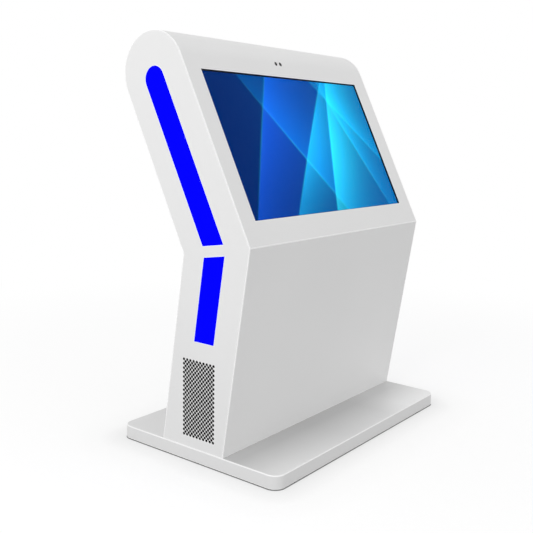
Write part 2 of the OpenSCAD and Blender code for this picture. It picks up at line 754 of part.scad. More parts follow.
computer_at = [-300, -390];
computer_size = [210, 46, 190];
fin_count = 21;
fin_pitch = 9.6;
fin_depth = 16;
module computer() color("dimgray") at_equipment(computer_at) difference() {
    cube(computer_size);
    for (i = [0:fin_count - 1]) translate([fin_pitch * (i + 0.6), computer_size[1] - fin_depth, -eps])
        cube([0.65 * fin_pitch, fin_depth + eps, computer_size[2] + 2 * eps]);
}

supply_at = [-50, -320];
supply_size = [215, 34, 115];
supply_ledge = [30, 16];
module power_supply() color("silver") at_equipment(supply_at) difference() {
    cube(supply_size);
    for (i = [0:10], j = [0:4]) translate([20 + i * 14, 0, 20 + j * 14])
        rod_y(6, supply_size[1] - sheet, supply_size[1] + eps);
    translate([supply_size[0] - supply_ledge[0], supply_size[1] - supply_ledge[1], -eps])
        cube([supply_ledge[0] + eps, supply_ledge[1] + eps, supply_size[2] + 2 * eps]);
}

controller_at = [205, -300];
controller_size = [100, 26, 70];
module light_controller() color("black") at_equipment(controller_at) difference() {
    cube(controller_size);
    for (z = [-eps, controller_size[2] - 8]) translate([8, controller_size[1] - 10, z])
        cube([controller_size[0] - 16, 10 + eps, 8 + eps]);
}

// Top hat rail with the terminals and the circuit breaker clipped on it
din_at = [-300, -480];
din_y = 7.5;
din_h = 35;
din_len = 380;
din_lip = 6;
clip_x = [20, 120];
module din_rail() color("silver") at_equipment(din_at) {
    box([0, din_len], [0, 1], [din_lip - 1, din_h - din_lip + 1]);
    for (z = [din_lip - 1, din_h - din_lip]) box([0, din_len], [0, din_y], [z, z + 1]);
    for (z = [0, din_h - din_lip]) box([0, din_len], [din_y - 1, din_y], [z, z + din_lip]);
}

terminal_count = 12;
terminal_pitch = 10;
terminal_size = [9.6, 28.5, 51];
terminal_at = din_at + [clip_x[1], (din_h - terminal_size[2]) / 2];
module terminal_block() color("gray") at_equipment(terminal_at) for (i = [0:terminal_count - 1])
    translate([i * terminal_pitch, din_y, 0]) difference() {
        cube(terminal_size);
        for (z = [8, terminal_size[2] - 8]) translate([terminal_size[0] / 2, 0, z])
            rod_y(5, terminal_size[1] - 6, terminal_size[1] + eps);
        translate([-eps, terminal_size[1] - 4, 18])
            cube([terminal_pitch + eps, 5, terminal_size[2] - 36]);
    }

breaker_w = 54;
breaker_h = 90;
breaker_at = din_at + [clip_x[0], (din_h - breaker_h) / 2];
breaker_nose = [22, 68];
breaker_y = [din_y, din_y + 44];
breaker_nose_y = [breaker_y[1], breaker_y[1] + 12];
toggle_r = 6;
toggle_y = din_y + 52;
toggle_pin = 3;
toggle_wall = 8;
toggle_lean = 35;
module at_breaker() at_equipment(breaker_at) children();
module at_toggle() at_breaker() translate([0, toggle_y, breaker_h / 2]) children();
module circuit_breaker() color("whitesmoke") difference() {
    at_breaker() {
        box([0, breaker_w], breaker_y, [0, breaker_h]);
        box([0, breaker_w], breaker_nose_y, breaker_nose);
    }
    at_toggle() {
        box([toggle_wall, breaker_w - toggle_wall], [-toggle_r - 2, toggle_y],
            [-toggle_r - 2, toggle_r + 2]);
        rod_x(toggle_pin + 2 * run_gap, toggle_wall / 2, breaker_w - toggle_wall / 2);
    }
}
module breaker_lever() color("black") at_toggle() {
    rod_x(toggle_pin, toggle_wall / 2 + fit_gap, breaker_w - toggle_wall / 2 - fit_gap);
    rod_x(2 * toggle_r, toggle_wall + fit_gap, breaker_w - toggle_wall - fit_gap);
    rotate([-toggle_lean, 0, 0])
        box([1.5 * toggle_wall, breaker_w - 1.5 * toggle_wall], [0, 16], [-2, 2]);
}

// Mains switch box with its rocker and a service socket recess
switch_at = [130, -520];
switch_size = [150, 44, 110];
rocker_at = switch_at + [switch_size[0] - 40, switch_size[2] / 2];
rocker_half = [10, 14];
rocker_well = 14;
rocker_pin = 4;
socket_size = [50, 16, 50];
module at_rocker() at_equipment(rocker_at) translate([0, switch_size[1] - 5, 0]) children();
module power_switch_box() color("dimgray") difference() {
    at_equipment(switch_at) difference() {
        cube(switch_size);
        translate([24, switch_size[1] - socket_size[1], 30]) cube(socket_size + [0, eps, 0]);
    }
    at_rocker() {
        box([-rocker_half[0] - 0.5, rocker_half[0] + 0.5], [5 - rocker_well, 5 + eps],
            [-rocker_half[1] - 1, rocker_half[1] + 1]);
        rod_x(rocker_pin + 2 * run_gap, -rocker_half[0] - 3, rocker_half[0] + 3);
    }
}
module power_switch_rocker() color("black") at_rocker() {
    rod_x(rocker_pin, -rocker_half[0] - 3 + fit_gap, rocker_half[0] + 3 - fit_gap);
    span(-rocker_half[0], rocker_half[0])
        polygon([[-5, -6], [4, -12.5], [8, -13.5], [5.6, 0], [8, 13.5], [4, 12.5], [-5, 6]]);
}

// Service door
door_size = [opening_w - 2 * door_gap, opening_h - 2 * door_gap];
door_lip_y = body_depth - door_fold;
stiffener_w = 50;
lock_x = lock_inset - door_size[0] / 2;
module at_locks() for (z = [-1, 1]) translate([lock_x, 0, z * lock_offset]) children();
module service_door() color("white") {
    in_doorway() difference() {
        union() {
            plate(door_size, [back_in, body_depth]);
            ring(door_size, drawn_in(door_size, sheet), [door_lip_y, body_depth]);
            ring(door_size, drawn_in(door_size, seal_land), [door_lip_y, door_lip_y + sheet]);
            for (x = [-1, 1]) translate([x * door_size[0] / 4, 0, 0]) difference() {
                plate([stiffener_w, door_size[1] - 2 * seal_land], [door_lip_y, body_depth]);
                plate([stiffener_w - 2 * sheet, door_size[1]], [door_lip_y + sheet, back_in]);
            }
        }
        at_locks() rod_y(lock_d + 2 * hole_play, 0, 2 * body_depth);
    }
    at_hinges() hinge_half(1);
}

module door_seal() color("black") in_doorway()
    ring(drawn_in(door_size, sheet), drawn_in(door_size, seal_land),
        [body_depth - rebate + sheet + fit_gap, door_lip_y]);

// Butt hinges outside the door: the middle knuckle belongs to the door, the outer two to the jamb
leaf_t = 2.5;
leaf_w = 24;
knuckle = hinge_len / 3;
hinge_x = opening_w / 2 - door_gap / 2;
hinge_y = body_depth + barrel_d / 2 + fit_gap;
hinge_pitch = (door_size[1] - 2 * hinge_len) / (hinge_count - 1);
module at_hinges() in_doorway() for (i = [0:hinge_count - 1])
    translate([hinge_x, hinge_y, (i - (hinge_count - 1) / 2) * hinge_pitch]) children();

// side is -1 for the leaf on the jamb, 1 for the leaf on the door, which lies towards -X
module hinge_half(side) {
    clear = barrel_d / 2 + 1;
    face = body_depth - hinge_y;
    ends = side > 0 ? [[-knuckle / 2 + fit_gap, knuckle / 2 - fit_gap]]
        : [[-1.5 * knuckle, -knuckle / 2 - fit_gap], [knuckle / 2 + fit_gap, 1.5 * knuckle]];
    x = side > 0 ? [-clear - leaf_w, -clear] : [clear, clear + leaf_w - 4];
    box(x, [face, face + leaf_t], [-1.5 * knuckle, 1.5 * knuckle]);
    for (z = ends) difference() {
        union() {
            translate([0, 0, z[0]]) cylinder(d = barrel_d, h = z[1] - z[0]);
            box([min(0, side * -clear), max(0, side * -clear)], [face, face + leaf_t], z);
        }
        translate([0, 0, z[0] - eps])
            cylinder(d = hinge_pin_d + (side > 0 ? 2 * run_gap : 0), h = z[1] - z[0] + 2 * eps);
    }
}
module hinges_fixed() color("silver") at_hinges() hinge_half(-1);
module hinge_pins() color("gray") at_hinges() {
    translate([0, 0, -hinge_len / 2]) cylinder(d = hinge_pin_d, h = hinge_len + 2);
    translate([0, 0, hinge_len / 2]) cylinder(d = hinge_pin_d + 3, h = 2);
}

// Quarter turn cam locks near the door's free edge, their cams hanging down while unlocked
lock_head = 24;
lock_nut_h = 5;
lock_slot = [1.6, 6, 7];
cam_w = 14;
cam_t = 3;
cam_y = body_depth - rebate - cam_t - 1;
module lock_barrels() color("silver") in_doorway() at_locks() difference() {
    union() {
        rod_y(lock_d, cam_y + cam_t + 1, body_depth + eps);
        rod_y(lock_head, body_depth, body_depth + 2);
        translate([0, back_in - lock_nut_h, 0]) rotate([-90, 0, 0])
            cylinder(d = 1.25 * lock_d, h = lock_nut_h, $fn = 6);
    }
    rod_y(plug_d + 2 * run_gap, 0, 2 * body_depth);
}
module lock_plug(z) in_doorway() translate([lock_x, 0, z]) {
    difference() {
        rod_y(plug_d, cam_y, body_depth + 1.5);
        plate([lock_slot[0], lock_slot[2]], [body_depth - lock_slot[1], body_depth + lock_slot[1]]);
    }
    box([-cam_w / 2, cam_w / 2], [cam_y, cam_y + cam_t], [-cam_len, cam_w / 2]);
}
module upper_lock() color("gray") lock_plug(lock_offset);
module lower_lock() color("gray") lock_plug(-lock_offset);

base_plate();
base_channels();
foot_pads();
anchor_sleeves();
cable_gland();
cabinet_floor();
floor_bolts();
left_side_panel();
right_side_panel();
front_panel();
head_shell();
waist_strip();
back_cover();
back_cover_screws();
door_surround();
left_upright();
right_upright();
cross_rails();
display_rails();
equipment_rails();
cover_glass();
glass_gasket();
glass_clamp_frame();
clamp_studs();
display_module();
display_chassis();
driver_box();
camera_board();
sensor_windows();
left_diffusers();
right_diffusers();
left_light_channels();
right_light_channels();
left_led_strips();
right_led_strips();
left_filter_tray();
right_filter_tray();
left_filter_pad();
right_filter_pad();
left_fan_frame();
right_fan_frame();
left_fan_rotor();
right_fan_rotor();
equipment_plate();
computer();
power_supply();
light_controller();
din_rail();
terminal_block();
circuit_breaker();
breaker_lever();
power_switch_box();
power_switch_rocker();
service_door();
door_seal();
hinges_fixed();
hinge_pins();
lock_barrels();
upper_lock();
lower_lock();
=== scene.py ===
# %% [markdown]
# An outdoor information kiosk, dressed for a studio picture.
#
# The kiosk is a bent body of folded steel sheet on a wide foot plate. A big display sits behind
# glass in the leaning face, two lit strips run down each side panel, and a field of punched holes
# lets air in near the floor. Its construction arrives as a finished frame of solids. This lesson
# gives each of those solids the finish that it has on the real kiosk, adds the one piece that isn't
# construction, which is the display's lit picture, and then lights and frames the whole.

# %% Load the frame and note its size
import math

import bmesh
import bpy
from mathutils import Matrix, Vector


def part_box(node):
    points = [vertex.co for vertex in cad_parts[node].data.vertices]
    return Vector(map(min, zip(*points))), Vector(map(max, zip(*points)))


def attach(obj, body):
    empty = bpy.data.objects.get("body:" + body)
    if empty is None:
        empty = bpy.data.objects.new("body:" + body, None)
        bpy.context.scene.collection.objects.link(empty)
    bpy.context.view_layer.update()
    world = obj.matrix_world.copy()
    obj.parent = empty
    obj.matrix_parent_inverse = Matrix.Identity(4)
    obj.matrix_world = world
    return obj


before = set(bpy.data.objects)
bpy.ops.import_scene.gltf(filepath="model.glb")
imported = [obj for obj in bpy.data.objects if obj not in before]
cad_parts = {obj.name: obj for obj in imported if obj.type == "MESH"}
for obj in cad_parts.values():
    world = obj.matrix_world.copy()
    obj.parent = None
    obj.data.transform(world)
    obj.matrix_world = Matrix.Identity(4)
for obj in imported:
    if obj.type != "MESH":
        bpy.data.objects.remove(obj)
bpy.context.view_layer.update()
print("solids in the frame:", len(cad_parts))

# %% [markdown]
# Two directions are needed again and again: into the leaning face, and up along it. They could be
# typed as an angle. Here they are read off the cover glass, whose widest faces are square to the
# first of them, so they stay right if the face ever leans at another angle.

# %% Directions of the leaning face
widest_of_glass = max(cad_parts["cover_glass"].data.polygons, key=lambda face: face.area)
FACE_IN = widest_of_glass.normal * math.copysign(1.0, widest_of_glass.normal.y)
FACE_UP = Vector((0.0, -FACE_IN.z, FACE_IN.y))
print("the face leans back by %.1f degrees" % math.degrees(math.asin(FACE_UP.y)))

# %% [markdown]
# The camera comes first, because every later choice is judged through it.
#
# The picture was taken from the front left, about 3 m away and a little above the display's
# middle. The place, the lens and the slight roll were found by matching the corners of the face,
# the waist and the foot plate. A camera looks along its own -Z, so the three columns of its
# matrix are its right, its up and the direction back towards it. The colours are shown plainly,
# with no film curve between the scene and the picture.

# %% Camera
CAMERA_AT = Vector((-2.42295, -1.75418, 1.12936))
CAMERA_AZIMUTH = math.radians(-52.1868)
CAMERA_ELEVATION = math.radians(9.8029)
CAMERA_ROLL = math.radians(1.0815)
SENSOR_MM = 36
LENS_MM = 53.254


def camera_axes(azimuth, elevation, roll):
    back = Vector((math.sin(azimuth) * math.cos(elevation),
                   -math.cos(azimuth) * math.cos(elevation), math.sin(elevation)))
    level = Vector((math.cos(azimuth), math.sin(azimuth), 0))
    upward = back.cross(level)
    right = level * math.cos(roll) + upward * math.sin(roll)
    up = upward * math.cos(roll) - level * math.sin(roll)
    return Matrix((right, up, back)).transposed()


camera = bpy.data.objects.new("camera", bpy.data.cameras.new("camera"))
camera.data.sensor_width = SENSOR_MM
camera.data.lens = LENS_MM
camera.matrix_world = Matrix.Translation(CAMERA_AT) @ camera_axes(
    CAMERA_AZIMUTH, CAMERA_ELEVATION, CAMERA_ROLL).to_4x4()
bpy.context.collection.objects.link(camera)
bpy.context.scene.camera = camera
bpy.context.scene.view_settings.view_transform = "Standard"
print("camera stands %.2f m from the kiosk's axis" % CAMERA_AT.xy.length)

# %% [markdown]
# Every finish here is a small circuit of shader nodes. In the editor one would place the nodes and
# join them by hand. In a script it is shorter to let one object hold the circuit: it makes a node,
# joins or sets the inputs that it is given, and hands back the output. The same object serves the
# world's light at the end.

# %% Wiring for shader nodes
class Wiring:
    """A node tree, with short ways to add to it."""

    def __init__(self, tree):
        self.nodes = tree.nodes
        self.links = tree.links

    def node(self, kind, inputs=(), **settings):
        made = self.nodes.new("ShaderNode" + kind)
        for name, value in settings.items():
            setattr(made, name, value)
        for key, value in dict(inputs).items():
            if isinstance(value, bpy.types.NodeSocket):
                self.links.new(value, made.inputs[key])
            else:
                made.inputs[key].default_value = value
        return made

    def math(self, operation, *values, clamp=False):
        made = self.node("Math", dict(enumerate(values)), operation=operation, use_clamp=clamp)
        return made.outputs[0]

    def vector(self, operation, *values, output="Vector"):
        made = self.node("VectorMath", dict(enumerate(values)), operation=operation)
        return made.outputs[output]

    def scaled(self, vector, factor):
        made = self.node("VectorMath", {0: vector, "Scale": factor}, operation="SCALE")
        return made.outputs["Vector"]

    def part(self, vector, axis):
        return self.node("SeparateXYZ", {"Vector": vector}).outputs[axis]

    def spread(self, value, low, high, start=0.0, end=1.0, **settings):
        """Takes a value that runs from start to end, and gives one from low to high."""
        made = self.node("MapRange", {"Value": value, "From Min": start, "From Max": end,
                                      "To Min": low, "To Max": high}, **settings)
        return made.outputs["Result"]

    def ramp(self, value, stops):
        made = self.node("ValToRGB", {"Fac": value})
        colours = made.color_ramp.elements
        while len(colours) < len(stops):
            colours.new(1.0)
        for element, (at, colour) in zip(colours, stops):
            element.position = at
            element.color = (*colour, 1.0)
        return made.outputs["Color"]

    def mixed(self, share, first, second):
        return self.node("MixRGB", {"Fac": share, "Color1": first, "Color2": second}).outputs["Color"]


# %% [markdown]
# Most finishes here are the same kind of thing: one shader whose colour drifts a little, whose
# gloss is uneven, and whose surface is not quite smooth. So the next helpers are the three things
# that a pattern can do to a surface: colour it, polish it, or raise it.
#
# The patterns are worked out from object coordinates. Every solid of the frame has its own origin
# at the kiosk's origin, so those are metres, and a grain of 1 mm is 1 mm on every piece.

# %% Helpers for finishes
PATTERN_SPAN = (0.3, 0.7)  # a noise or cell pattern seldom leaves this range


def shade(colour, factor):
    return tuple(min(1.0, part * factor) for part in colour)


def grey(tone):
    return (tone, tone, tone)


class Finish(Wiring):
    """A material under construction, with its shader and the coordinates of its surface."""

    def __init__(self, name):
        self.material = bpy.data.materials.new(name)
        self.material.use_nodes = True
        super().__init__(self.material.node_tree)
        self.shader = self.nodes["Principled BSDF"]
        self.place = self.node("TexCoord").outputs["Object"]

    def set(self, **values):
        for name, value in values.items():
            self.shader.inputs[name.replace("_", " ")].default_value = value
        return self

    def noise(self, scale, detail=2.0, place=None):
        made = self.node("TexNoise", {"Vector": place or self.place, "Scale": scale, "Detail": detail})
        return made.outputs["Fac"]

    def cells(self, scale, output="Distance"):
        return self.node("TexVoronoi", {"Vector": self.place, "Scale": scale}).outputs[output]

    def two_tones(self, pattern, low, high):
        return self.ramp(pattern, tuple(zip(PATTERN_SPAN, (low, high))))

    def colour(self, pattern, low, high):
        self.links.new(self.two_tones(pattern, low, high), self.shader.inputs["Base Color"])
        return self

    def gloss(self, pattern, low, high):
        roughness = self.spread(pattern, low, high, *PATTERN_SPAN)
        self.links.new(roughness, self.shader.inputs["Roughness"])
        return self

    def relief(self, height, depth, strength=1.0):
        bump = self.node("Bump", {"Height": height, "Distance": depth, "Strength": strength})
        self.links.new(bump.outputs["Normal"], self.shader.inputs["Normal"])
        return self


def dress(finish, *names):
    """Gives solids of the frame a finish."""
    for name in names:
        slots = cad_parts[name].data.materials
        slots.clear()
        slots.append(finish.material)
    print("%-24s on %s" % (finish.material.name, ", ".join(names)))


# %% [markdown]
# The kiosk's white is not the same all over: it is painted lighter and darker by place, as painted
# light and shade. The body is painted a little darker towards the bottom. The front panel is painted
# darker towards the waist, and a shade lighter than the plain white near the floor. The foot plate's
# top gets a painted shade where the leaning panel stands over it, and is painted lighter towards its
# right end. The foot plate's folded skirt is painted a shade greyer than its top.
#
# The shading could be painted by hand on each sheet. A few places along an axis, and how light the
# white is at each of them, are enough for such soft shades. The helper takes any white and hands
# back the shaded one, and the coat below asks for it.

# %% Painted light and shade by place
POWDER_WHITE = grey(0.803)
# Painted light and shade by place: the body darker towards the bottom, the front panel darker towards the
# waist and lighter near the floor, the foot plate darker where the leaning panel stands over it and lighter
# towards its right end.
BODY_PAINTED_SHADE = (("Z", ((0.20, 0.955), (0.75, 0.975), (1.25, 1.0))),)
FRONT_PAINTED_SHADING = (("Z", ((0.06, 1.02), (0.35, 0.985), (0.77, 0.95))),)
PLATE_PAINTED_SHADING = (("Y", ((-0.355, 0.99), (-0.31, 0.92), (-0.18, 0.65), (-0.10, 0.65), (0.0, 0.92))),
              ("X", ((-0.45, 1.03), (-0.10, 0.93), (0.20, 0.97), (0.33, 1.12), (0.45, 1.14))))
# Painted shade on the foot plate's skirt: its vertical faces are painted this much darker than its top.
SKIRT_PAINTED_SHADE = 0.92


def with_painted_shading(finish, white, dust):
    """Multiplies a white by painted light and shade, given as (metres, tone) pairs along each axis."""
    for axis, places in dust:
        start, end = places[0][0], places[-1][0]
        share = finish.spread(finish.part(finish.place, axis), 0.0, 1.0, start, end)
        stops = [((at - start) / (end - start), grey(white_tone)) for at, white_tone in places]
        white = finish.vector("MULTIPLY", white, finish.ramp(share, stops))
    return white


# The axes along which light and shade are painted on the body and on the foot plate.
print("dust shades the body along", len(BODY_PAINTED_SHADE), "axis and the foot plate along", len(PLATE_PAINTED_SHADING))

# %% [markdown]
# White powder coat. On the real kiosk the sheets are blasted, primed and sprayed with a fine
# textured polyester powder, then baked. Up close it has a soft grain of about 1 mm over a longer
# ripple of 6 mm, and no clear mirror image. It could be one white with a bump. Here the white also
# drifts by about 1 % over half a metre, as a hand-sprayed coat does, and the gloss is a little
# uneven, so a wide flat sheet doesn't look like paper.
#
# Folds and cut edges get a painted highlight: a slightly whiter, rounder line, such as a rounded
# edge would catch. A bevel node gives the normal that a rounded edge would have. Where it parts
# from the true normal the surface is near an edge, and there the white is painted lighter. The node
# also feels what is welded behind a sheet, so the door and the covers get a narrower edge than
# their sheet's thickness.

# %% Powder coat
PAINTED_EDGE_HIGHLIGHT = 1.24
EDGE_WIDTH = 0.005
THIN_EDGE = 0.0016
EDGE_AGREEMENT = (0.995, 0.9)  # how far the two normals agree where the white line starts, and is full
DRIFT, RIPPLE, FINE_GRAIN = 2.2, 160.0, 950.0  # patterns per metre
FINE_SHARE = 0.35
COAT_RELIEF = 0.00008


class PowderCoat(Finish):
    """A sprayed and baked coat, with painted light and shade by place and a painted highlight along its
    edges.
    """

    def __init__(self, name, white=POWDER_WHITE, edge_width=EDGE_WIDTH, edge_highlight=PAINTED_EDGE_HIGHLIGHT,
                 dust=(), skirt=None):
        super().__init__(name)
        white_tone = self.two_tones(self.noise(DRIFT, detail=1.0), shade(white, 0.985), shade(white, 1.01))
        # The painted light and shade by place go onto the drifting white here.
        flat = with_painted_shading(self, white_tone, dust)
        # Painted highlight: where the two normals part, near an edge, the white is painted lighter.
        rounded, agreement = self.rounded(edge_width)
        highlight_share = self.spread(agreement, 0.0, 1.0, *EDGE_AGREEMENT)
        # On the skirt: the vertical faces get the painted shade, and the fold between top and skirt a
        # painted highlight.
        if skirt:
            upward = self.part(rounded, "Z")
            flat = self.mixed(upward, self.scaled(white_tone, skirt), flat)
            highlight_share = self.math("MAXIMUM", highlight_share, self.halfway(upward), clamp=True)
        self.paint = self.mixed(highlight_share, flat, (*shade(white, edge_highlight), 1.0))
        self.links.new(self.paint, self.shader.inputs["Base Color"])
        fine = self.noise(FINE_GRAIN)
        self.gloss(fine, 0.34, 0.44)
        height = self.math("ADD", self.math("MULTIPLY", fine, FINE_SHARE), self.noise(RIPPLE, detail=1.0))
        self.relief(height, COAT_RELIEF, 0.6)

    def rounded(self, width):
        """The normal of an edge rounded over this width, and its agreement with the true normal."""
        rounded = self.node("Bevel", {"Radius": width}, samples=8).outputs["Normal"]
        true_normal = self.node("NewGeometry").outputs["Normal"]
        return rounded, self.vector("DOT_PRODUCT", rounded, true_normal, output="Value")

    def halfway(self, share):
        """1 where a share is a half, falling to 0 where it is none or all."""
        return self.math("MULTIPLY", share, self.math("SUBTRACT", 4.0, self.math("MULTIPLY", share, 4.0)))


# %% [markdown]
# The coats themselves. One white serves every outer sheet, but not in one material: the front
# panel, the covers and the foot plate get their painted light and shade in different places, and the
# thin covers need the narrow painted highlight on their edges. The filter trays and the frame that
# clamps the glass are coated black, because no light may come back out through the vents or round
# the display.

# %% Coated sheets
dress(PowderCoat("white powder coat", dust=FRONT_PAINTED_SHADING), "front_panel", "waist_strip")
dress(PowderCoat("white coat of the covers", edge_width=THIN_EDGE, dust=BODY_PAINTED_SHADE),
      "back_cover", "door_surround", "service_door", "hinges_fixed")
dress(PowderCoat("foot plate coat", dust=PLATE_PAINTED_SHADING, skirt=SKIRT_PAINTED_SHADE), "base_plate")
# The black coat's edges get a painted highlight too.
dress(PowderCoat("black powder coat", (0.012, 0.012, 0.013), edge_highlight=1.5),
      "left_filter_tray", "right_filter_tray", "glass_clamp_frame")
dress(PowderCoat("light channel white", grey(0.80)), "left_light_channels", "right_light_channels")

# %% [markdown]
# Sheets with small holes: the punched vents of the side panels and the two sensor holes above the
# display. The wall of each hole of 9 mm gets a painted shade, as dark as the inside of a hole in
# shade, and its rim a thin ring of painted shade, which widens the dark of each hole. Both matter
# for the picture: from three metres the vent field must read as black dots in a white sheet.
#
# The holes could get a material of their own, face by face, but then the solids' meshes would
# change. So these sheets wear the same coat as the rest, and the coat looks where it is. Close to
# the piece that lies behind the holes, which is the filter pad or the sensor windows, the walls
# (faces that don't look the way the sheet looks) and the thin rims (places close to an edge) are
# painted dark as shade.

# %% Sheets with dark holes
# Painted shade: the colour of the hole walls, and of the ring on each rim.
PAINTED_WALL_SHADE = (0.012, 0.012, 0.013, 1.0)
PAINTED_RIM_SHADE = (*grey(0.03), 1.0)
VENT_RIM = 0.003
SENSOR_RIM = 0.0045
RIM_AGREEMENT = (0.98, 0.94)  # of the two normals, where the rim starts and is full
WALL_FACING = 0.5  # a face that agrees less than this with the sheet's direction is a wall
NEAR_HOLES = 0.004


def near_piece(finish, name):
    """1 inside the box of a piece and a little around it, 0 elsewhere."""
    inside = 1.0
    for axis, start, end in zip("XYZ", *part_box(name)):
        middle, reach = (start + end) / 2, (end - start) / 2 + NEAR_HOLES
        within = finish.math("COMPARE", finish.part(finish.place, axis), middle, reach)
        inside = finish.math("MULTIPLY", within, inside)
    return inside


def punched_coat(name, behind, sheet_looks, rim_width):
    # These sheets carry the body's painted shade too: darker towards the bottom.
    finish = PowderCoat(name, dust=BODY_PAINTED_SHADE)
    field = near_piece(finish, behind)
    normal = finish.node("NewGeometry").outputs["True Normal"]
    facing = finish.math("ABSOLUTE", finish.vector("DOT_PRODUCT", normal, sheet_looks, output="Value"))
    wall = finish.math("MULTIPLY", finish.math("LESS_THAN", facing, WALL_FACING), field)
    rim = finish.spread(finish.rounded(rim_width)[1], 0.0, 1.0, *RIM_AGREEMENT)
    # Near the holes, rims and walls are painted dark as shade.
    rim_shaded = finish.mixed(finish.math("MULTIPLY", rim, field), finish.paint, PAINTED_RIM_SHADE)
    finish.links.new(finish.mixed(wall, rim_shaded, PAINTED_WALL_SHADE), finish.shader.inputs["Base Color"])
    return finish


SIDEWAYS = Vector((1, 0, 0))
dress(punched_coat("left panel coat", "left_filter_pad", SIDEWAYS, VENT_RIM), "left_side_panel")
dress(punched_coat("right panel coat", "right_filter_pad", SIDEWAYS, VENT_RIM), "right_side_panel")
dress(punched_coat("head coat", "sensor_windows", FACE_IN, SENSOR_RIM), "head_shell")

# %% [markdown]
# Bare metals. The inner frame is galvanised tube: the zinc freezes into flat crystals, each a
# slightly different grey. They could be drawn as a picture, but a cell texture gives them directly
# and at their real size. Screws and hinge pins are zinc plated or satin steel, so they only need a
# fine grain. The heat sinks are drawn aluminium, whose grain runs upwards, in one direction: the
# same noise gives it, once the coordinates are stretched.

# %% Metals
ZINC = 0.62
CRYSTALS = 90.0  # per metre
FINE_ALL_ROUND = (600.0, 600.0, 600.0)
FINER_ALL_ROUND = (800.0, 800.0, 800.0)
GRAIN_SIDEWAYS = (40.0, 900.0, 900.0)
GRAIN_UPWARDS = (900.0, 900.0, 30.0)


def galvanised(name):
    finish = Finish(name).set(Metallic=1.0)
    crystal = finish.node("SeparateColor", {"Color": finish.cells(CRYSTALS, "Color")}).outputs["Red"]
    finish.colour(crystal, grey(ZINC * 0.93), (ZINC * 1.05, ZINC * 1.06, ZINC * 1.07))
    finish.gloss(crystal, 0.34, 0.5)
    return finish.relief(finish.noise(700.0), 0.00005, 0.5)


def grained_metal(name, colour, roughness, grain_along):
    finish = Finish(name).set(Metallic=1.0)
    stretched = finish.node("Mapping", {"Vector": finish.place, "Scale": grain_along}).outputs["Vector"]
    grain = finish.noise(1.0, detail=3.0, place=stretched)
    finish.colour(grain, shade(colour, 0.9), shade(colour, 1.06))
    finish.gloss(grain, roughness * 0.85, roughness * 1.2)
    return finish.relief(grain, 0.00004, 0.5)


dress(galvanised("galvanised steel"), "base_channels", "anchor_sleeves", "cabinet_floor",
      "left_upright", "right_upright", "cross_rails", "display_rails", "equipment_rails",
      "equipment_plate", "display_chassis", "driver_box")
dress(grained_metal("zinc plated screw", (0.68, 0.69, 0.70), 0.3, FINE_ALL_ROUND),
      "floor_bolts", "clamp_studs", "back_cover_screws", "din_rail")
dress(grained_metal("satin steel", (0.58, 0.59, 0.60), 0.32, GRAIN_SIDEWAYS), "hinge_pins")
dress(grained_metal("satin chrome", (0.50, 0.50, 0.51), 0.22, FINER_ALL_ROUND),
      "lock_barrels", "upper_lock", "lower_lock")
dress(grained_metal("drawn aluminium", (0.55, 0.56, 0.58), 0.36, GRAIN_UPWARDS),
      "computer", "power_supply")

# %% [markdown]
# Rubber, plastics and foam. Moulded parts carry the spark-eroded texture of their mould, a field
# of tiny pits. Rubber is duller and its grain is coarser. The filter behind the vent holes is open
# foam: round cells with thin walls, so dark that the holes read as black dots from outside. One
# noise could serve for all three, but pits and cells are round, so they come from a cell texture.

# %% Plastics, rubber and foam
MOULD_PITS = 1400.0  # per metre
FOAM_CELLS = 420.0
RUBBER_GRAIN = 800.0


def moulded(name, colour, roughness):
    finish = Finish(name)
    pits = finish.cells(MOULD_PITS)
    finish.colour(finish.noise(9.0), shade(colour, 0.88), shade(colour, 1.08))
    finish.gloss(pits, roughness * 0.9, roughness * 1.15)
    return finish.relief(pits, 0.00003, 0.5)


def rubber(name, colour):
    finish = Finish(name).set(Specular_IOR_Level=0.3)
    grain = finish.noise(RUBBER_GRAIN, detail=4.0)
    finish.colour(grain, shade(colour, 0.7), shade(colour, 1.2))
    finish.gloss(grain, 0.7, 0.85)
    return finish.relief(grain, 0.00008, 0.6)


def open_foam(name):
    finish = Finish(name).set(Specular_IOR_Level=0.1, Roughness=0.95)
    wall = finish.cells(FOAM_CELLS)
    finish.colour(wall, grey(0.002), grey(0.012))
    return finish.relief(wall, 0.0012)


dress(moulded("dark case plastic", (0.055, 0.058, 0.062), 0.5),
      "light_controller", "power_switch_box", "cable_gland")
dress(moulded("pale case plastic", (0.62, 0.63, 0.63), 0.45), "circuit_breaker")
dress(moulded("fan plastic", (0.016, 0.016, 0.017), 0.42),
      "left_fan_frame", "right_fan_frame", "left_fan_rotor", "right_fan_rotor")
dress(moulded("toggle plastic", grey(0.02), 0.35), "breaker_lever", "power_switch_rocker")
dress(moulded("terminal plastic", (0.30, 0.31, 0.32), 0.5), "terminal_block")
dress(moulded("display bezel", (0.006, 0.006, 0.007), 0.4), "display_module")
dress(rubber("black rubber", grey(0.018)), "foot_pads", "glass_gasket", "door_seal")
dress(open_foam("filter foam"), "left_filter_pad", "right_filter_pad")

# %% [markdown]
# The lit strips. A strip is an opal acrylic diffuser with blue diodes in a white channel behind
# it. Lit, it shows one even blue, the purest that a screen can show, with no highlight on it. Small
# lamps behind a cloudy sheet would give it too, slowly and with noise. The shader's own glow gives
# it at once, and the surface under it is dark and nearly matt, so that the studio lamps add no
# white. The diodes' pitch barely shows, as a ripple of about 1 % in the glow.

# %% Blue diffuser
PURE_BLUE = (0.0, 0.0, 1.0)


